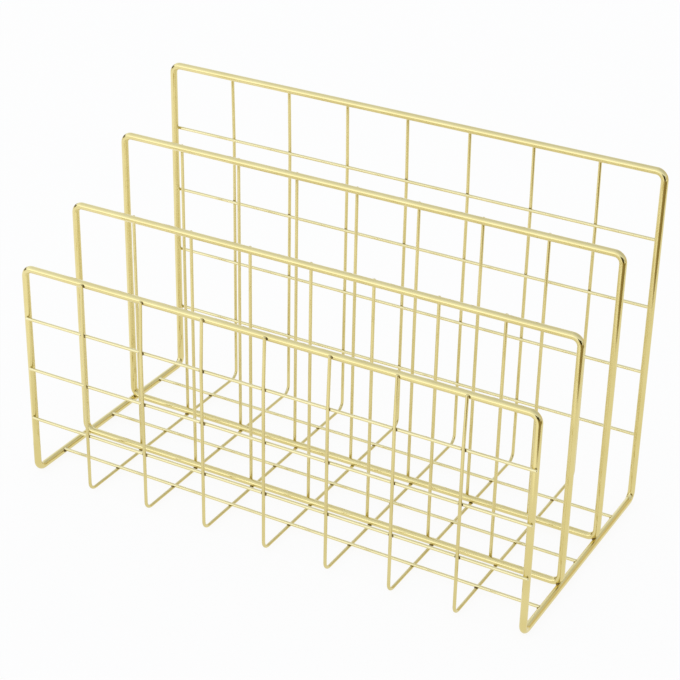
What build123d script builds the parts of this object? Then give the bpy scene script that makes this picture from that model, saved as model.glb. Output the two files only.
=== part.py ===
"""Letter holder of welded, plated steel wire with three letter pockets, stepped up towards the back.

Millimetres, +Z up, front towards -Y. The origin is on the table, in the middle of the footprint.
Every wire is its own node and is exported to parts/NODE.step.
"""
import math
import os

from build123d import *

os.makedirs("parts", exist_ok=True)

# Wire stock
frame_wire_diameter = 3.3
mesh_wire_diameter = 1.5

# Main frame, all sizes from wire centre to wire centre
frame_width = 250.0
frame_depth = 120.7
front_rise = 105.0
rear_rise = 163.3
top_corner_radius = 4.0
foot_bend_radius = 4.25

# Dividers, rises measured from the side rails like those of the main frame
front_pocket_depth = 38.7
middle_pocket_depth = 40.0
front_divider_rise = 121.2
rear_divider_rise = 141.7

# Mesh that runs down the front, across the floor and up the back
mesh_wire_count = 7
mesh_shift = 0.9
mesh_bend_radius = 4.0
mesh_lean_radius = 30.0
front_cross_count = 3
front_cross_top_cell = 24.4
front_cross_pitch = 25.9
rear_cross_count = 4

# Upright wires of the dividers
divider_wire_count = 7
divider_wire_shift = -1.6

# Welds: how deep the wires sink into each other, how far a wire end runs past the frame wire's centre
weld_sink = 0.5
frame_weld_sink = 0.1
mesh_tip_lap = 0.9
rear_tip_lap = 0.4
cross_tip_lap = 0.7

# Derived radii and planes of the main frame
frame_radius = frame_wire_diameter / 2
mesh_radius = mesh_wire_diameter / 2
half_width = frame_width / 2
half_depth = frame_depth / 2
side_rail_z = frame_radius
front_rail_z = side_rail_z + front_rise
rear_rail_z = side_rail_z + rear_rise

# Derived places of the dividers: their bottom bends rest on the inner tops of the side rails
front_divider_y = front_pocket_depth - half_depth
rear_divider_y = front_divider_y + middle_pocket_depth
seat_reach = foot_bend_radius + frame_wire_diameter - frame_weld_sink
seat_rise = math.sqrt(seat_reach**2 - foot_bend_radius**2) - foot_bend_radius
divider_floor_z = side_rail_z + seat_rise

# Derived layers of the mesh: cross wires on the frame, long wires on the outside of the cross wires
lap_offset = frame_radius + mesh_radius - weld_sink
layer_offset = mesh_wire_diameter - weld_sink
front_cross_y = -half_depth - lap_offset
rear_cross_y = half_depth + lap_offset
front_mesh_y = front_cross_y - layer_offset
rear_mesh_y = rear_cross_y + layer_offset
floor_mesh_z = divider_floor_z - lap_offset
floor_cross_z = floor_mesh_z + layer_offset

# Derived rows of wires
mesh_pitch = frame_width / (mesh_wire_count + 1)
divider_wire_pitch = (frame_width - frame_wire_diameter) / (divider_wire_count + 1)
rear_cross_pitch = rear_rise / (rear_cross_count + 1)
front_cross_top_z = front_rail_z - front_cross_top_cell
front_cross_zs = [front_cross_top_z - front_cross_pitch * k for k in range(front_cross_count)]
rear_cross_zs = [rear_rail_z - rear_cross_pitch * (k + 1) for k in range(rear_cross_count)]
pocket_walls = [-half_depth, front_divider_y, rear_divider_y, half_depth]
floor_cross_ys = [(near + far) / 2 for near, far in zip(pocket_walls, pocket_walls[1:])]


def straight_wire(start, end, radius):
    """Straight round wire, cut square at both ends."""
    run = Vector(*end) - Vector(*start)
    return extrude(Plane(origin=start, z_dir=run) * Circle(radius), amount=run.length)


def bent_wire(corners, bend_radii, radius, closed=False):
    """Round wire through the corners; a closed wire is bent at each, an open one at the inner ones."""
    points = [Vector(*corner) for corner in corners]
    if closed:
        points = points + points[:2]
    bends = []
    for before, corner, after, bend_radius in zip(points, points[1:], points[2:], bend_radii):
        heading = (corner - before).normalized()
        turned = (after - corner).normalized()
        tangent = bend_radius * math.tan(math.radians(heading.get_angle(turned)) / 2)
        bends.append((corner - heading * tangent, heading, corner + turned * tangent))
    run_starts = [bends[-1][2] if closed else points[0]] + [bend_end for _, _, bend_end in bends]
    edges = []
    for run_start, (bend_start, heading, bend_end) in zip(run_starts, bends):
        edges.append(Edge.make_line(run_start, bend_start))
        edges.append(Edge.make_tangent_arc(bend_start, heading, bend_end))
    if not closed:
        edges.append(Edge.make_line(run_starts[-1], points[-1]))
    section = Plane(origin=edges[0] @ 0, z_dir=edges[0] % 0) * Circle(radius)
    return sweep(section, path=Wire(edges)).solid()


def row_places(count, pitch, shift):
    """Evenly spaced places about the middle, moved sideways by the shift."""
    return [(k - (count - 1) / 2) * pitch + shift for k in range(count)]


nodes = {}

# Main frame: one closed loop of thick wire, front window, two side rails on the table, rear window
nodes["main_frame"] = bent_wire(
    [
        (-half_width, -half_depth, side_rail_z),
        (-half_width, -half_depth, front_rail_z),
        (half_width, -half_depth, front_rail_z),
        (half_width, -half_depth, side_rail_z),
        (half_width, half_depth, side_rail_z),
        (half_width, half_depth, rear_rail_z),
        (-half_width, half_depth, rear_rail_z),
        (-half_width, half_depth, side_rail_z),
    ],
    [top_corner_radius, top_corner_radius, foot_bend_radius, foot_bend_radius] * 2,
    frame_radius,
    closed=True,
)

# Dividers: closed loops of the same wire, each with upright wires lapped on its rear face
divider_wire_xs = row_places(divider_wire_count, divider_wire_pitch, divider_wire_shift)
for place, y, rise in [
    ("front", front_divider_y, front_divider_rise),
    ("rear", rear_divider_y, rear_divider_rise),
]:
    rail_z = side_rail_z + rise
    loop = bent_wire(
        [
            (-half_width, y, divider_floor_z),
            (-half_width, y, rail_z),
            (half_width, y, rail_z),
            (half_width, y, divider_floor_z),
        ],
        [top_corner_radius, top_corner_radius, foot_bend_radius, foot_bend_radius],
        frame_radius,
        closed=True,
    )
    nodes[f"{place}_divider_frame"] = loop - nodes["main_frame"]
    wire_y = y + lap_offset
    for k, x in enumerate(divider_wire_xs, 1):
        foot = (x, wire_y, divider_floor_z - mesh_tip_lap)
        tip = (x, wire_y, rail_z + mesh_tip_lap)
        nodes[f"{place}_divider_wire_{k}"] = straight_wire(foot, tip, mesh_radius) - loop

# Cross wires: front and rear ones lapped on the uprights, floor ones butted on the side rails' flanks
front_cross_left_x = mesh_shift - half_width - cross_tip_lap
front_cross_right_x = mesh_shift + half_width + cross_tip_lap
rear_cross_end_x = half_width + rear_tip_lap
flank_reach = math.sqrt(max(frame_radius**2 - (floor_cross_z - side_rail_z) ** 2, 0))
floor_end_x = half_width - flank_reach + weld_sink
cross_wires = {}
for k, z in enumerate(front_cross_zs, 1):
    cross_wires[f"front_cross_wire_{k}"] = (front_cross_left_x, front_cross_right_x, front_cross_y, z)
for k, y in enumerate(floor_cross_ys, 1):
    cross_wires[f"floor_cross_wire_{k}"] = (-floor_end_x, floor_end_x, y, floor_cross_z)
for k, z in enumerate(rear_cross_zs, 1):
    cross_wires[f"rear_cross_wire_{k}"] = (-rear_cross_end_x, rear_cross_end_x, rear_cross_y, z)
for name, (left_x, right_x, y, z) in cross_wires.items():
    nodes[name] = straight_wire((left_x, y, z), (right_x, y, z), mesh_radius) - nodes["main_frame"]

# Mesh wires: bent to a U under the cross wires and dividers, tips leaning in to lap on the top rails
mesh_hosts = ["main_frame", "front_divider_frame", "rear_divider_frame", *cross_wires]
for k, x in enumerate(row_places(mesh_wire_count, mesh_pitch, mesh_shift), 1):
    u_wire = bent_wire(
        [
            (x, front_cross_y, front_rail_z + mesh_tip_lap),
            (x, front_mesh_y, front_cross_zs[0]),
            (x, front_mesh_y, floor_mesh_z),
            (x, rear_mesh_y, floor_mesh_z),
            (x, rear_mesh_y, rear_cross_zs[0]),
            (x, rear_cross_y, rear_rail_z + rear_tip_lap),
        ],
        [mesh_lean_radius, mesh_bend_radius, mesh_bend_radius, mesh_lean_radius],
        mesh_radius,
    )
    nodes[f"u_wire_{k}"] = u_wire.cut(*[nodes[host] for host in mesh_hosts])

for name, shape in nodes.items():
    shape.label = name
    export_step(shape, f"parts/{name}.step")
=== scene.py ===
import math

import bpy
from mathutils import Matrix, Vector


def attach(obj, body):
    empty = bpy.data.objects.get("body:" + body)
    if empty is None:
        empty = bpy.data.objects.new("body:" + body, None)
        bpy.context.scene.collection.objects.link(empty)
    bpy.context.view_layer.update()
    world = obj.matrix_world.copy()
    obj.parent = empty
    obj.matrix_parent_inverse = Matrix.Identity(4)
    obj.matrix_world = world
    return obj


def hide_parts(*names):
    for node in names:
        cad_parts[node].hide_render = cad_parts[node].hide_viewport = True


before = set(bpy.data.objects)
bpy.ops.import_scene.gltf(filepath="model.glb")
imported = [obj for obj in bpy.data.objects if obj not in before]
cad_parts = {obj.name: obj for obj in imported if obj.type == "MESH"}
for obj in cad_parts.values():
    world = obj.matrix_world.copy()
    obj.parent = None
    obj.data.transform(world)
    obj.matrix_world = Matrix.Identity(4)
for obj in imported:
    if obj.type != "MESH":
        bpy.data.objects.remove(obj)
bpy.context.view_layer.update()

# MAIN FRAME
# One closed loop of 3.3 mm drawn steel wire, bent eight times and butt-welded: front window, the two
# side rails that stand on the table, and the taller rear window. Bright pale gold plating over steel.
WIDTH, DEPTH = 0.250, 0.1207
FRONT_RISE, REAR_RISE = 0.105, 0.1633
FRAME_RADIUS = 0.00165
TOP_BEND, FOOT_BEND = 0.004, 0.00425
END_ROUND = 0.0003
THICK_FACETS = 40
SIDE_RAIL_Z = FRAME_RADIUS
FRONT_RAIL_Z = SIDE_RAIL_Z + FRONT_RISE
REAR_RAIL_Z = SIDE_RAIL_Z + REAR_RISE
left, right, front, rear = -WIDTH / 2, WIDTH / 2, -DEPTH / 2, DEPTH / 2

# Plating: noise scales per metre, and how many times longer than wide the die lines are
DIE_LINE_SCALE, CLOUD_SCALE, SPECK_SCALE = 2600, 70, 1500
DIE_LINE_STRETCH = 30
DIE_LINE_DEPTH, DIE_LINE_STRENGTH = 0.00004, 0.03
CLOUD_LOW, CLOUD_HIGH = 0.3, 0.7
WEAR_LOW, WEAR_HIGH = 0.35, 0.68
SPECK_SHARE = 0.5


def plated_wire(name, pale, deep, rough):
    """Bright gold plating on drawn wire: cloudy tone, fine die lines along the wire, a few dull specks.

    The tones are the palest and the deepest, and the roughness is the lowest and the highest.
    """
    finish = bpy.data.materials.new(name)
    finish.use_nodes = True
    nodes, link = finish.node_tree.nodes, finish.node_tree.links.new
    shader = nodes["Principled BSDF"]
    shader.inputs["Metallic"].default_value = 1.0

    def reckon(kind, operation, factor=None):
        step = nodes.new(kind)
        step.operation = operation
        if factor is not None:
            step.inputs[1].default_value = factor
        return step

    def noise(scale, detail, at):
        pattern = nodes.new("ShaderNodeTexNoise")
        pattern.inputs["Scale"].default_value = scale
        pattern.inputs["Detail"].default_value = detail
        link(at, pattern.inputs["Vector"])
        return pattern.outputs["Fac"]

    # Places along the wire count only a share, so the die lines run lengthwise
    place = nodes.new("ShaderNodeTexCoord").outputs["Object"]
    run = nodes.new("ShaderNodeAttribute")
    run.attribute_name = "wire_run"
    along = reckon("ShaderNodeVectorMath", "DOT_PRODUCT")
    keep = reckon("ShaderNodeMath", "MULTIPLY", (DIE_LINE_STRETCH - 1) / DIE_LINE_STRETCH)
    shorten = reckon("ShaderNodeVectorMath", "SCALE")
    squeezed = reckon("ShaderNodeVectorMath", "SUBTRACT")
    link(place, along.inputs[0])
    link(run.outputs["Vector"], along.inputs[1])
    link(along.outputs["Value"], keep.inputs[0])
    link(run.outputs["Vector"], shorten.inputs[0])
    link(keep.outputs["Value"], shorten.inputs["Scale"])
    link(place, squeezed.inputs[0])
    link(shorten.outputs["Vector"], squeezed.inputs[1])
    die_lines = noise(DIE_LINE_SCALE, 3, squeezed.outputs["Vector"])
    cloud = noise(CLOUD_SCALE, 4, place)
    specks = noise(SPECK_SCALE, 2, place)
    tone = nodes.new("ShaderNodeValToRGB")
    deep_stop, pale_stop = tone.color_ramp.elements
    deep_stop.position, deep_stop.color = CLOUD_LOW, (*deep, 1)
    pale_stop.position, pale_stop.color = CLOUD_HIGH, (*pale, 1)
    link(cloud, tone.inputs["Fac"])
    link(tone.outputs["Color"], shader.inputs["Base Color"])
    lines_part = reckon("ShaderNodeMath", "MULTIPLY", 1 - SPECK_SHARE)
    wear = reckon("ShaderNodeMath", "MULTIPLY_ADD", SPECK_SHARE)
    link(die_lines, lines_part.inputs[0])
    link(specks, wear.inputs[0])
    link(lines_part.outputs["Value"], wear.inputs[2])
    gloss = nodes.new("ShaderNodeMapRange")
    for label, value in [("From Min", WEAR_LOW), ("From Max", WEAR_HIGH),
                         ("To Min", rough[0]), ("To Max", rough[1])]:
        gloss.inputs[label].default_value = value
    link(wear.outputs["Value"], gloss.inputs["Value"])
    link(gloss.outputs["Result"], shader.inputs["Roughness"])
    bump = nodes.new("ShaderNodeBump")
    bump.inputs["Strength"].default_value = DIE_LINE_STRENGTH
    bump.inputs["Distance"].default_value = DIE_LINE_DEPTH
    link(die_lines, bump.inputs["Height"])
    link(bump.outputs["Normal"], shader.inputs["Normal"])
    return finish


def new_tree(title, inputs, output):
    """Node tree with named inputs and one output of geometry; also gives the inputs' identifiers."""
    tree = bpy.data.node_groups.new(title, "GeometryNodeTree")
    identifiers = {}
    for label, kind, start in inputs:
        socket = tree.interface.new_socket(name=label, in_out="INPUT", socket_type=kind)
        if start is not None:
            socket.default_value = start
        identifiers[label] = socket.identifier
    tree.interface.new_socket(name=output, in_out="OUTPUT", socket_type="NodeSocketGeometry")
    return tree, identifiers


def named_attribute(tree, name, kind):
    """Reads an attribute of the mesh in a node tree."""
    reader = tree.nodes.new("GeometryNodeInputNamedAttribute")
    reader.data_type = kind
    reader.inputs["Name"].default_value = name
    return reader.outputs["Attribute"]


def wire_row_tree():
    """Tree that bends wires along a path of corners, sweeps them round and repeats them at a step."""
    tree, identifiers = new_tree("Row of bent wires", [
        ("Wire path", "NodeSocketGeometry", None),
        ("Wire radius", "NodeSocketFloat", 0.001),
        ("Bend steps", "NodeSocketInt", 12),
        ("Facets round", "NodeSocketInt", 24),
        ("Count", "NodeSocketInt", 1),
        ("Step", "NodeSocketVector", (0, 0, 0)),
        ("Merge gap", "NodeSocketFloat", 0.000002),
        ("Finish", "NodeSocketMaterial", None),
    ], "Wires")
    add, link = tree.nodes.new, tree.links.new
    given, done = add("NodeGroupInput").outputs, add("NodeGroupOutput")
    path = add("GeometryNodeMeshToCurve")
    link(given["Wire path"], path.inputs["Mesh"])
    bend = add("GeometryNodeFilletCurve")
    bend.mode = "POLY"
    link(path.outputs["Curve"], bend.inputs["Curve"])
    link(given["Bend steps"], bend.inputs["Count"])
    link(named_attribute(tree, "bend_radius", "FLOAT"), bend.inputs["Radius"])
    run = add("GeometryNodeStoreNamedAttribute")
    run.data_type, run.domain = "FLOAT_VECTOR", "POINT"
    run.inputs["Name"].default_value = "wire_run"
    link(bend.outputs["Curve"], run.inputs["Geometry"])
    link(add("GeometryNodeInputTangent").outputs["Tangent"], run.inputs["Value"])
    ring = add("GeometryNodeCurvePrimitiveCircle")
    link(given["Facets round"], ring.inputs["Resolution"])
    link(given["Wire radius"], ring.inputs["Radius"])
    sweep = add("GeometryNodeCurveToMesh")
    sweep.inputs["Fill Caps"].default_value = True
    link(run.outputs["Geometry"], sweep.inputs["Curve"])
    link(ring.outputs["Curve"], sweep.inputs["Profile Curve"])
    link(named_attribute(tree, "end_round", "FLOAT"), sweep.inputs["Scale"])
    merge = add("GeometryNodeMergeByDistance")
    link(given["Merge gap"], merge.inputs["Distance"])
    link(sweep.outputs["Mesh"], merge.inputs["Geometry"])
    smooth = add("GeometryNodeSetShadeSmooth")
    link(merge.outputs["Geometry"], smooth.inputs["Geometry"])
    row = add("GeometryNodeMeshLine")
    row.mode = "OFFSET"
    link(given["Count"], row.inputs["Count"])
    link(given["Step"], row.inputs["Offset"])
    repeat = add("GeometryNodeInstanceOnPoints")
    link(row.outputs["Mesh"], repeat.inputs["Points"])
    link(smooth.outputs["Geometry"], repeat.inputs["Instance"])
    real = add("GeometryNodeRealizeInstances")
    link(repeat.outputs["Instances"], real.inputs["Geometry"])
    dress = add("GeometryNodeSetMaterial")
    link(real.outputs["Geometry"], dress.inputs["Geometry"])
    link(given["Finish"], dress.inputs["Material"])
    link(dress.outputs["Geometry"], done.inputs["Wires"])
    return tree, identifiers


def grow_piece(name, seed_mesh, tree, identifiers, values, slot, nodes=()):
    """Runs a node tree on a mesh and keeps what it makes as a plain mesh that rides on the frame."""
    piece = bpy.data.objects.new(name, seed_mesh)
    bpy.context.scene.collection.objects.link(piece)
    growth = piece.modifiers.new("Growth", "NODES")
    growth.node_group = tree
    for label, value in values.items():
        growth[identifiers[label]] = value
    made = piece.evaluated_get(bpy.context.evaluated_depsgraph_get())
    grown_mesh = bpy.data.meshes.new_from_object(made)
    piece.modifiers.clear()
    piece.data = grown_mesh
    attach(piece, "root")
    if nodes:
        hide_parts(*nodes)


wire_row, wire_row_inputs = wire_row_tree()


def lay_wire(name, paths, radius, facets, finish, slot, nodes, count=1, step=(0, 0, 0)):
    """Makes wires along paths of (corners, bend radii, closed) and puts them in the place of CAD nodes."""
    places, edges, bends, rounds = [], [], [], []
    for corners, radii, closed in paths:
        corners = [Vector(corner) for corner in corners]
        full = [1.0] * len(corners)
        if not closed:
            # Cut ends have their burr tumbled off: rings close in to a smaller end face, and one more
            # ring behind them keeps the shaft straight
            shares = (0.0, 0.15, 0.5, 1.0, 2.0)
            drops = [1 - math.sqrt(1 - (1 - min(share, 1)) ** 2) for share in shares]
            shrink = [1 - END_ROUND / radius * drop for drop in drops]
            for _ in ("near end", "far end"):
                way = (corners[1] - corners[0]).normalized()
                near = [corners[0] + way * END_ROUND * share for share in shares]
                corners = (near + corners[1:])[::-1]
                radii = ([0.0] * len(shares) + radii[1:])[::-1]
                full = (shrink + full[1:])[::-1]
        first = len(places)
        places += corners
        bends += radii
        rounds += full
        edges += [(first + k, first + k + 1) for k in range(len(corners) - 1)]
        if closed:
            edges.append((len(places) - 1, first))
    path_mesh = bpy.data.meshes.new(name + "_path")
    path_mesh.from_pydata(places, edges, [])
    path_mesh.attributes.new("bend_radius", "FLOAT", "POINT").data.foreach_set("value", bends)
    path_mesh.attributes.new("end_round", "FLOAT", "POINT").data.foreach_set("value", rounds)
    values = {"Wire radius": radius, "Facets round": facets, "Count": count, "Step": step, "Finish": finish}
    grow_piece(name, path_mesh, wire_row, wire_row_inputs, values, slot, nodes)


frame_gold = plated_wire("frame_gold", pale=(0.75, 0.645, 0.29), deep=(0.71, 0.60, 0.25), rough=(0.09, 0.15))
frame_corners = [
    (left, front, SIDE_RAIL_Z), (left, front, FRONT_RAIL_Z),
    (right, front, FRONT_RAIL_Z), (right, front, SIDE_RAIL_Z),
    (right, rear, SIDE_RAIL_Z), (right, rear, REAR_RAIL_Z),
    (left, rear, REAR_RAIL_Z), (left, rear, SIDE_RAIL_Z),
]
window_bends = [FOOT_BEND, TOP_BEND, TOP_BEND, FOOT_BEND]
lay_wire("main_frame_wire", [(frame_corners, window_bends * 2, True)], FRAME_RADIUS, THICK_FACETS,
         frame_gold, "frame_wire", ["main_frame"])

# DIVIDER FRAMES
# Two closed loops of the same wire. Their bottom bends rest on the inner tops of the side rails and are
# welded there, so the dividers stand a little higher than the rails.
FRONT_POCKET, MIDDLE_POCKET = 0.0387, 0.040
FRONT_DIVIDER_RISE, REAR_DIVIDER_RISE = 0.1212, 0.1417
SEAT_SINK = 0.0001
DIVIDERS = {
    "front": (front + FRONT_POCKET, SIDE_RAIL_Z + FRONT_DIVIDER_RISE),
    "rear": (front + FRONT_POCKET + MIDDLE_POCKET, SIDE_RAIL_Z + REAR_DIVIDER_RISE),
}
seat_reach = FOOT_BEND + 2 * FRAME_RADIUS - SEAT_SINK
divider_floor_z = SIDE_RAIL_Z + math.sqrt(seat_reach**2 - FOOT_BEND**2) - FOOT_BEND
for place, (y, top) in DIVIDERS.items():
    loop = [(left, y, divider_floor_z), (left, y, top), (right, y, top), (right, y, divider_floor_z)]
    lay_wire(f"{place}_divider_loop", [(loop, window_bends, True)], FRAME_RADIUS, THICK_FACETS,
             frame_gold, "frame_wire", [f"{place}_divider_frame"])

# DIVIDER WIRES
# Seven straight 1.5 mm wires to each divider, cut to length and spot-welded to the rear faces of its top
# and bottom rails, sunk half a millimetre into them.
MESH_RADIUS = 0.00075
THIN_FACETS = 24
WELD_SINK = 0.0005
TIP_LAP = 0.0009
DIVIDER_WIRE_COUNT, DIVIDER_WIRE_SHIFT = 7, 0.0016
THIN_GOLD = {"pale": (0.73, 0.63, 0.29), "deep": (0.68, 0.58, 0.25), "rough": (0.09, 0.16)}
lap = FRAME_RADIUS + MESH_RADIUS - WELD_SINK
divider_pitch = (WIDTH - 2 * FRAME_RADIUS) / (DIVIDER_WIRE_COUNT + 1)
divider_first_x = -(DIVIDER_WIRE_COUNT - 1) / 2 * divider_pitch - DIVIDER_WIRE_SHIFT


def straight(start, end):
    """Path of a straight wire that is cut at both ends."""
    return [start, end], [0.0, 0.0], False


def numbered(stem, count):
    """Names of a row of CAD nodes, counted from one."""
    return [f"{stem}_{k}" for k in range(1, count + 1)]


divider_gold = plated_wire("divider_gold", **THIN_GOLD)
for place, (y, top) in DIVIDERS.items():
    foot = (divider_first_x, y + lap, divider_floor_z - TIP_LAP)
    tip = (divider_first_x, y + lap, top + TIP_LAP)
    lay_wire(f"{place}_divider_wires", [straight(foot, tip)], MESH_RADIUS, THIN_FACETS,
             divider_gold, "divider_wire", numbered(f"{place}_divider_wire", DIVIDER_WIRE_COUNT),
             DIVIDER_WIRE_COUNT, (divider_pitch, 0, 0))

# CROSS WIRES
# Straight 1.5 mm wires: three lapped on the front uprights, four on the backs of the rear uprights, and
# one under each pocket with its ends butted on the flanks of the side rails.
MESH_SHIFT = 0.0009
CROSS_LAP, REAR_LAP = 0.0007, 0.0004
FRONT_CROSS_COUNT, REAR_CROSS_COUNT = 3, 4
FRONT_TOP_CELL, FRONT_CROSS_PITCH = 0.0244, 0.0259
layer = 2 * MESH_RADIUS - WELD_SINK
front_cross_y, rear_cross_y = front - lap, rear + lap
front_cross_z = FRONT_RAIL_Z - FRONT_TOP_CELL
front_cross_left, front_cross_right = left - CROSS_LAP + MESH_SHIFT, right + CROSS_LAP + MESH_SHIFT
rear_cross_pitch = (REAR_RAIL_Z - SIDE_RAIL_Z) / (REAR_CROSS_COUNT + 1)
rear_cross_z = REAR_RAIL_Z - rear_cross_pitch
rear_cross_end = right + REAR_LAP
floor_mesh_z = divider_floor_z - lap
floor_cross_z = floor_mesh_z + layer
divider_ys = [y for y, top in DIVIDERS.values()]
walls = [front, *divider_ys, rear]
floor_cross_ys = [(near + far) / 2 for near, far in zip(walls, walls[1:])]
flank_reach = math.sqrt(FRAME_RADIUS**2 - (floor_cross_z - SIDE_RAIL_Z) ** 2)
floor_end = right - flank_reach + WELD_SINK
# Paler, bluer copy of the same plating: a painted reflection of the brighter, cooler light that the level
# cross wires reflect.
cross_gold_painted_reflection = plated_wire("cross_gold_painted_reflection", pale=(0.78, 0.69, 0.36), deep=(0.73, 0.64, 0.31), rough=(0.10, 0.18))
front_cross_ends = [(x, front_cross_y, front_cross_z) for x in (front_cross_left, front_cross_right)]
rear_cross_ends = [(x, rear_cross_y, rear_cross_z) for x in (-rear_cross_end, rear_cross_end)]
floor_cross_paths = [
    straight((-floor_end, y, floor_cross_z), (floor_end, y, floor_cross_z)) for y in floor_cross_ys
]
lay_wire("front_cross_wires", [straight(*front_cross_ends)], MESH_RADIUS, THIN_FACETS,
         cross_gold_painted_reflection, "cross_wire", numbered("front_cross_wire", FRONT_CROSS_COUNT),
         FRONT_CROSS_COUNT, (0, 0, -FRONT_CROSS_PITCH))
lay_wire("rear_cross_wires", [straight(*rear_cross_ends)], MESH_RADIUS, THIN_FACETS,
         cross_gold_painted_reflection, "cross_wire", numbered("rear_cross_wire", REAR_CROSS_COUNT),
         REAR_CROSS_COUNT, (0, 0, -rear_cross_pitch))
lay_wire("floor_cross_wires", floor_cross_paths, MESH_RADIUS, THIN_FACETS,
         cross_gold_painted_reflection, "cross_wire", numbered("floor_cross_wire", len(floor_cross_ys)))

# U-WIRES
# Seven 1.5 mm wires of the mesh mat, bent twice with the cross wires on the inside: down the front, under
# the pockets and up the back. Their tips lean in and are welded to the top rails.
MESH_BEND, LEAN_BEND = 0.004, 0.030
MESH_WIRE_COUNT = 7
mesh_pitch = WIDTH / (MESH_WIRE_COUNT + 1)
mesh_first_x = -(MESH_WIRE_COUNT - 1) / 2 * mesh_pitch + MESH_SHIFT
front_mesh_y, rear_mesh_y = front_cross_y - layer, rear_cross_y + layer
mesh_gold = plated_wire("mesh_gold", **THIN_GOLD)
u_corners = [
    (mesh_first_x, front_cross_y, FRONT_RAIL_Z + TIP_LAP),
    (mesh_first_x, front_mesh_y, front_cross_z),
    (mesh_first_x, front_mesh_y, floor_mesh_z),
    (mesh_first_x, rear_mesh_y, floor_mesh_z),
    (mesh_first_x, rear_mesh_y, rear_cross_z),
    (mesh_first_x, rear_cross_y, REAR_RAIL_Z + REAR_LAP),
]
u_bends = [0.0, LEAN_BEND, MESH_BEND, MESH_BEND, LEAN_BEND, 0.0]
lay_wire("u_wires", [(u_corners, u_bends, False)], MESH_RADIUS, THIN_FACETS,
         mesh_gold, "mesh_wire", numbered("u_wire", MESH_WIRE_COUNT), MESH_WIRE_COUNT, (mesh_pitch, 0, 0))

# WELD BEADS
# Spot welds squeeze a little melted steel out round each contact. The beads' dark brown is painted shade and
# painted dark reflection of the crevice between two wires, so every joint shows as a small dark lump there.
BEAD_RADIUS = 0.0015
BEAD_WIDTH_SHARE, BEAD_HEIGHT_SHARE = 0.6, 0.36
BEAD_LUMPS, LUMP_SCALE = 0.0003, 900
BEAD_VARIATION, BEAD_SEED = 0.15, 7
BEAD_SHARES = {
    "front crossing": 1.0, "rear crossing": 0.8, "floor crossing": 1.0, "under divider": 1.3,
    "front tip": 0.9, "rear tip": 1.1, "divider wire": 1.1,
    "front cross end": 0.65, "rear cross end": 0.9, "floor cross end": 1.1, "divider seat": 1.25,
}
TIP_BEAD_ASIDE, FRONT_END_BEAD_ASIDE, REAR_END_BEAD_INSET = 0.0004, 0.0007, 0.0004
FLANK_SLOPE = -0.8
ACROSS, DEEP, UPRIGHT = (1, 0, 0), (0, 1, 0), (0, 0, 1)
mesh_xs = [mesh_first_x + k * mesh_pitch for k in range(MESH_WIRE_COUNT)]
divider_xs = [divider_first_x + k * divider_pitch for k in range(DIVIDER_WIRE_COUNT)]
front_cross_zs = [front_cross_z - k * FRONT_CROSS_PITCH for k in range(FRONT_CROSS_COUNT)]
rear_cross_zs = [rear_cross_z - k * rear_cross_pitch for k in range(REAR_CROSS_COUNT)]
sink_face = WELD_SINK / 2
front_face_y, rear_face_y = front - FRAME_RADIUS + sink_face, rear + FRAME_RADIUS - sink_face
welds = []


def weld(kind, place, axis, run):
    """Notes a weld: where it is, which way the contact faces and which way the bead is long."""
    welds.append((place, axis, run, BEAD_SHARES[kind]))


for x in mesh_xs:
    for z in front_cross_zs:
        weld("front crossing", (x, front_cross_y - MESH_RADIUS + sink_face, z), DEEP, ACROSS)
    for z in rear_cross_zs:
        weld("rear crossing", (x, rear_cross_y + MESH_RADIUS - sink_face, z), DEEP, UPRIGHT)
    for y in floor_cross_ys:
        weld("floor crossing", (x, y, floor_cross_z - MESH_RADIUS + sink_face), UPRIGHT, DEEP)
    for y in divider_ys:
        weld("under divider", (x, y, divider_floor_z - FRAME_RADIUS + sink_face), UPRIGHT, DEEP)
    weld("front tip", (x + TIP_BEAD_ASIDE, front_face_y, FRONT_RAIL_Z), DEEP, ACROSS)
    weld("rear tip", (x, rear_face_y, REAR_RAIL_Z), DEEP, ACROSS)
for x in divider_xs:
    for y, top in DIVIDERS.values():
        for z in (divider_floor_z, top):
            weld("divider wire", (x, y + FRAME_RADIUS - sink_face, z), DEEP, ACROSS)
for side in (-1, 1):
    for z in front_cross_zs:
        weld("front cross end", (side * right + FRONT_END_BEAD_ASIDE, front_face_y, z), DEEP, UPRIGHT)
    for z in rear_cross_zs:
        weld("rear cross end", (side * (right - REAR_END_BEAD_INSET), rear_face_y, z), DEEP, UPRIGHT)
    for y in floor_cross_ys:
        flank = (side * (floor_end - WELD_SINK), y, floor_cross_z - MESH_RADIUS / 2)
        weld("floor cross end", flank, (side, 0, FLANK_SLOPE), DEEP)
    # Divider bends on the side rails: the contact lies on the line between the bend's centre and the rail
    towards = Vector((side * FOOT_BEND, 0, SIDE_RAIL_Z - divider_floor_z - FOOT_BEND)).normalized()
    for y in divider_ys:
        bend_centre = Vector((side * (right - FOOT_BEND), y, divider_floor_z + FOOT_BEND))
        weld("divider seat", bend_centre + towards * (FOOT_BEND + FRAME_RADIUS), towards, DEEP)


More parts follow.
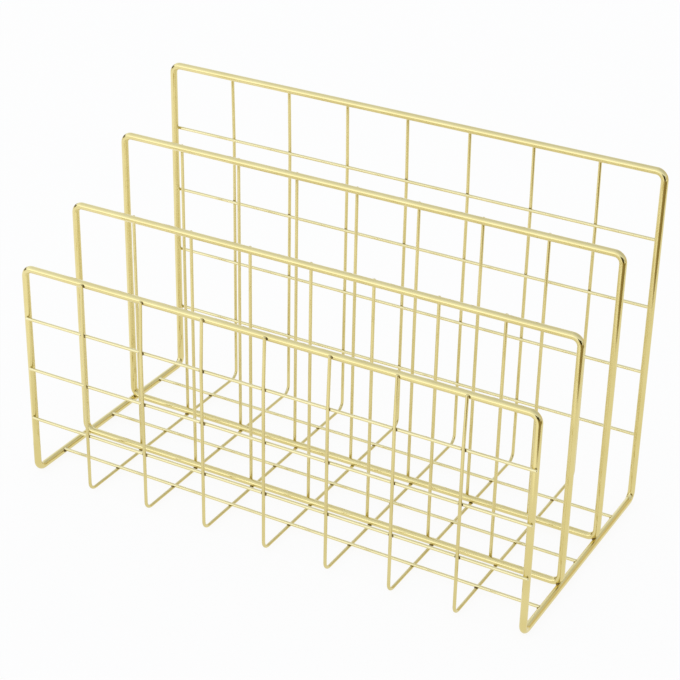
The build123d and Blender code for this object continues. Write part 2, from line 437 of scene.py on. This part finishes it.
def weld_bead_tree():
    """Tree that sets one lumpy, flattened bead at each weld, turned to lie across the contact."""
    tree, identifiers = new_tree("Weld beads", [
        ("Welds", "NodeSocketGeometry", None),
        ("Bead radius", "NodeSocketFloat", 0.001),
        ("Width share", "NodeSocketFloat", 0.7),
        ("Height share", "NodeSocketFloat", 0.5),
        ("Lumps", "NodeSocketFloat", 0.0001),
        ("Seed", "NodeSocketInt", 1),
        ("Finish", "NodeSocketMaterial", None),
    ], "Beads")
    add, link = tree.nodes.new, tree.links.new
    given, done = add("NodeGroupInput").outputs, add("NodeGroupOutput")

    def multiply(first, second):
        product = add("ShaderNodeMath")
        product.operation = "MULTIPLY"
        link(first, product.inputs[0])
        link(second, product.inputs[1])
        return product.outputs["Value"]

    ball = add("GeometryNodeMeshIcoSphere")
    ball.inputs["Subdivisions"].default_value = 2
    link(given["Bead radius"], ball.inputs["Radius"])
    vary = add("FunctionNodeRandomValue")
    vary.data_type = "FLOAT"
    limits = {"Min": 1 - BEAD_VARIATION, "Max": 1 + BEAD_VARIATION}
    for socket in vary.inputs:
        if socket.type == "VALUE" and socket.name in limits:
            socket.default_value = limits[socket.name]
    link(given["Seed"], vary.inputs["Seed"])
    varied = [socket for socket in vary.outputs if socket.type == "VALUE" and socket.enabled][0]
    length = multiply(named_attribute(tree, "bead_size", "FLOAT"), varied)
    scale = add("ShaderNodeCombineXYZ")
    link(length, scale.inputs["X"])
    link(multiply(length, given["Width share"]), scale.inputs["Y"])
    link(multiply(length, given["Height share"]), scale.inputs["Z"])
    stand = add("FunctionNodeAlignRotationToVector")
    stand.axis = "Z"
    link(named_attribute(tree, "bead_axis", "FLOAT_VECTOR"), stand.inputs["Vector"])
    turn = add("FunctionNodeAlignRotationToVector")
    turn.axis, turn.pivot_axis = "X", "Z"
    link(stand.outputs["Rotation"], turn.inputs["Rotation"])
    link(named_attribute(tree, "bead_run", "FLOAT_VECTOR"), turn.inputs["Vector"])
    beads = add("GeometryNodeInstanceOnPoints")
    link(given["Welds"], beads.inputs["Points"])
    link(ball.outputs["Mesh"], beads.inputs["Instance"])
    link(turn.outputs["Rotation"], beads.inputs["Rotation"])
    link(scale.outputs["Vector"], beads.inputs["Scale"])
    real = add("GeometryNodeRealizeInstances")
    link(beads.outputs["Instances"], real.inputs["Geometry"])
    noise = add("ShaderNodeTexNoise")
    noise.inputs["Scale"].default_value = LUMP_SCALE
    link(add("GeometryNodeInputPosition").outputs["Position"], noise.inputs["Vector"])
    # The noise lies about a half, so that the lumps rise and fall alike
    centre = add("ShaderNodeMath")
    centre.operation = "SUBTRACT"
    centre.inputs[1].default_value = 0.5
    link(noise.outputs["Fac"], centre.inputs[0])
    push = add("ShaderNodeVectorMath")
    push.operation = "SCALE"
    link(add("GeometryNodeInputNormal").outputs["Normal"], push.inputs[0])
    link(multiply(centre.outputs["Value"], given["Lumps"]), push.inputs["Scale"])
    lump = add("GeometryNodeSetPosition")
    link(real.outputs["Geometry"], lump.inputs["Geometry"])
    link(push.outputs["Vector"], lump.inputs["Offset"])
    smooth = add("GeometryNodeSetShadeSmooth")
    link(lump.outputs["Geometry"], smooth.inputs["Geometry"])
    dress = add("GeometryNodeSetMaterial")
    link(smooth.outputs["Geometry"], dress.inputs["Geometry"])
    link(given["Finish"], dress.inputs["Material"])
    link(dress.outputs["Geometry"], done.inputs["Beads"])
    return tree, identifiers


# Dark brown bead finish: painted crevice shade and painted dark reflection.
weld_painted_shade = plated_wire("weld_painted_shade", pale=(0.30, 0.22, 0.08), deep=(0.09, 0.06, 0.02), rough=(0.26, 0.45))
weld_places, weld_axes, weld_runs, weld_sizes = zip(*welds)
weld_mesh = bpy.data.meshes.new("weld_places")
weld_mesh.from_pydata(weld_places, [], [])
weld_mesh.attributes.new("bead_size", "FLOAT", "POINT").data.foreach_set("value", weld_sizes)
for name, ways in (("bead_axis", weld_axes), ("bead_run", weld_runs)):
    weld_mesh.attributes.new(name, "FLOAT_VECTOR", "POINT").data.foreach_set(
        "vector", [part for way in ways for part in way])
bead_values = {
    "Bead radius": BEAD_RADIUS, "Width share": BEAD_WIDTH_SHARE, "Height share": BEAD_HEIGHT_SHARE,
    "Lumps": BEAD_LUMPS, "Seed": BEAD_SEED, "Finish": weld_painted_shade,
}
grow_piece("weld_beads", weld_mesh, *weld_bead_tree(), bead_values, "mesh_wire")

# FLOOR
# White studio sweep: a plain sheet of matt paper under the holder. The camera and the wires see it almost
# pure white, and the small rest of its own shading keeps the holder's soft shadow.
FLOOR_SIZE = 6.0
WHITE_SHARE = 0.9
bpy.ops.mesh.primitive_plane_add(size=FLOOR_SIZE, location=(0, 0, 0))
floor = bpy.context.object
floor.name = "floor"
paper = bpy.data.materials.new("studio_paper")
paper.use_nodes = True
nodes, links = paper.node_tree.nodes, paper.node_tree.links
matt = nodes["Principled BSDF"]
matt.inputs["Base Color"].default_value = (0.92, 0.88, 0.76, 1)
matt.inputs["Roughness"].default_value = 0.9
matt.inputs["Specular IOR Level"].default_value = 0.0
white = nodes.new("ShaderNodeEmission")
white.inputs["Color"].default_value = (1, 1, 1, 1)
white.inputs["Strength"].default_value = 1.0
path_kind = nodes.new("ShaderNodeLightPath")
share = nodes.new("ShaderNodeMath")
share.operation = "MULTIPLY"
share.inputs[1].default_value = WHITE_SHARE
links.new(path_kind.outputs["Is Camera Ray"], share.inputs[0])
for ray in ("Is Glossy Ray", "Is Transmission Ray"):
    more = nodes.new("ShaderNodeMath")
    more.operation = "MULTIPLY_ADD"
    more.inputs[1].default_value = WHITE_SHARE
    links.new(path_kind.outputs[ray], more.inputs[0])
    links.new(share.outputs["Value"], more.inputs[2])
    share = more
lift = nodes.new("ShaderNodeMixShader")
links.new(share.outputs["Value"], lift.inputs["Fac"])
links.new(matt.outputs["BSDF"], lift.inputs[1])
links.new(white.outputs["Emission"], lift.inputs[2])
links.new(lift.outputs["Shader"], nodes["Material Output"].inputs["Surface"])
floor.data.materials.append(paper)

# LIGHT
# White light tent: an even bright room, a little brighter low down and towards the front left, and one
# weak soft box from the front left. The camera sees the tent as plain white.
TENT_LEVEL, TENT_RISE = 1.27, (-0.22, -0.22, -0.45)
TENT_COLOUR = (0.93, 0.99, 1.2, 1)
scene = bpy.context.scene
scene.view_settings.view_transform = "Standard"
tent = bpy.data.worlds.new("light_tent")
tent.use_nodes = True
scene.world = tent
nodes, links = tent.node_tree.nodes, tent.node_tree.links
tent_way = nodes.new("ShaderNodeTexCoord")
rise = nodes.new("ShaderNodeVectorMath")
rise.operation = "DOT_PRODUCT"
rise.inputs[1].default_value = TENT_RISE
links.new(tent_way.outputs["Generated"], rise.inputs[0])
strength = nodes.new("ShaderNodeMath")
strength.operation = "ADD"
strength.inputs[1].default_value = TENT_LEVEL
links.new(rise.outputs["Value"], strength.inputs[0])
tent_glow = nodes["Background"]
tent_glow.inputs["Color"].default_value = TENT_COLOUR
links.new(strength.outputs["Value"], tent_glow.inputs["Strength"])
camera_white = nodes.new("ShaderNodeBackground")
camera_white.inputs["Color"].default_value = (1, 1, 1, 1)
path_kind = nodes.new("ShaderNodeLightPath")
choose = nodes.new("ShaderNodeMixShader")
links.new(path_kind.outputs["Is Camera Ray"], choose.inputs["Fac"])
links.new(tent_glow.outputs["Background"], choose.inputs[1])
links.new(camera_white.outputs["Background"], choose.inputs[2])
links.new(choose.outputs["Shader"], nodes["World Output"].inputs["Surface"])

lamp = bpy.data.lights.new("front_left_soft_box", "AREA")
lamp.shape = "RECTANGLE"
lamp.size, lamp.size_y = 1.2, 0.5
lamp.energy = 0.5
lamp_place, lamp_aim = Vector((-0.8, -1.6, 0.4)), Vector((0, 0, 0.08))
soft_box = bpy.data.objects.new("front_left_soft_box", lamp)
scene.collection.objects.link(soft_box)
soft_box.location = lamp_place
soft_box.rotation_euler = (lamp_aim - lamp_place).to_track_quat("-Z", "Y").to_euler()

# CARDS
# Nine cards of the light tent that stand or lie round the sweep and show only as reflections. Brown and
# black ones draw the dark streaks and spots in the uprights and bends, sand ones warm the flanks of the
# rails, and white ones on the floor lighten the wires that face left and forwards.
FLOOR_GAP, LYING_TOP = 0.001, 0.002
FAR_AWAY, FAR_TOP = 2.0, 0.62
BLACK = (0.02, 0.02, 0.02)


def tent_card(name, tone, towards, away, wide, high, low=FLOOR_GAP, reach=0.0, aside=0.0):
    """Card square to a direction on the floor, in degrees from the front, upright unless it has a reach."""
    turn = math.radians(towards)
    out, along = Vector((math.sin(turn), -math.cos(turn), 0)), Vector((math.cos(turn), math.sin(turn), 0))
    corners = [out * distance + along * (across + aside) + Vector((0, 0, z))
               for distance, z, across in ((away, low, -wide / 2), (away, low, wide / 2),
                                           (away + reach, high, wide / 2), (away + reach, high, -wide / 2))]
    mesh = bpy.data.meshes.new(name)
    mesh.from_pydata(corners, [], [(0, 1, 2, 3)])
    card = bpy.data.objects.new(name, mesh)
    scene.collection.objects.link(card)
    paint = bpy.data.materials.new(name)
    paint.use_nodes = True
    nodes, links = paint.node_tree.nodes, paint.node_tree.links
    glow = nodes.new("ShaderNodeEmission")
    glow.inputs["Color"].default_value = (*tone, 1)
    glow.inputs["Strength"].default_value = 1.0
    links.new(glow.outputs["Emission"], nodes["Material Output"].inputs["Surface"])
    mesh.materials.append(paint)
    card.visible_camera = card.visible_diffuse = card.visible_shadow = False


tent_card("brown_card", (0.33, 0.26, 0.115), towards=47, away=0.285, wide=0.51, high=0.10, aside=0.195)
tent_card("front_right_black_card", (0.05, 0.04, 0.015), towards=45, away=0.600, wide=0.50, high=0.36,
          low=0.02)
tent_card("left_rear_black_card", BLACK, towards=249, away=FAR_AWAY, wide=0.56, high=FAR_TOP)
tent_card("left_front_black_card", BLACK, towards=291, away=FAR_AWAY, wide=0.56, high=FAR_TOP)
tent_card("left_brown_card", (0.28, 0.24, 0.15), towards=270, away=FAR_AWAY, wide=0.86, high=FAR_TOP)
tent_card("right_sand_card", (0.62, 0.55, 0.40), towards=90, away=FAR_AWAY, wide=1.2, high=FAR_TOP)
tent_card("sand_card", (0.80, 0.71, 0.51), towards=151, away=0.600, wide=0.8, high=0.36)
tent_card("left_white_card", (1.12, 1.14, 1.28), towards=270, away=0.150, wide=0.9, high=LYING_TOP, reach=0.5)
tent_card("front_white_card", (1.15, 1.16, 1.2), towards=0, away=0.165, wide=0.36, high=LYING_TOP, reach=0.4)

# CAMERA
# Long lens from the front right and above, turned a little about its own axis as in the photograph. Its
# focal length is given in pixels of the square picture.
AZIMUTH, ELEVATION, ROLL = math.radians(28.832), math.radians(28.078), math.radians(-1.19)
DISTANCE = 0.84361
FOCAL_PIXELS, PICTURE_PIXELS = 1886.38, 680
SENSOR_WIDTH = 36.0
target = Vector((0.003247, -0.001411, 0.077279 + SIDE_RAIL_Z))
look = Vector((-math.sin(AZIMUTH) * math.cos(ELEVATION),
               math.cos(AZIMUTH) * math.cos(ELEVATION),
               -math.sin(ELEVATION)))
level = Vector((math.cos(AZIMUTH), math.sin(AZIMUTH), 0))
down = look.cross(level)
across = level * math.cos(ROLL) + down * math.sin(ROLL)
up = level * math.sin(ROLL) - down * math.cos(ROLL)
lens = bpy.data.cameras.new("camera")
lens.sensor_width = SENSOR_WIDTH
lens.lens = FOCAL_PIXELS / PICTURE_PIXELS * SENSOR_WIDTH
lens.clip_end = 20.0
camera = bpy.data.objects.new("camera", lens)
scene.collection.objects.link(camera)
turned = Matrix((across, up, -look)).transposed().to_4x4()
camera.matrix_world = Matrix.Translation(target - look * DISTANCE) @ turned
scene.camera = camera
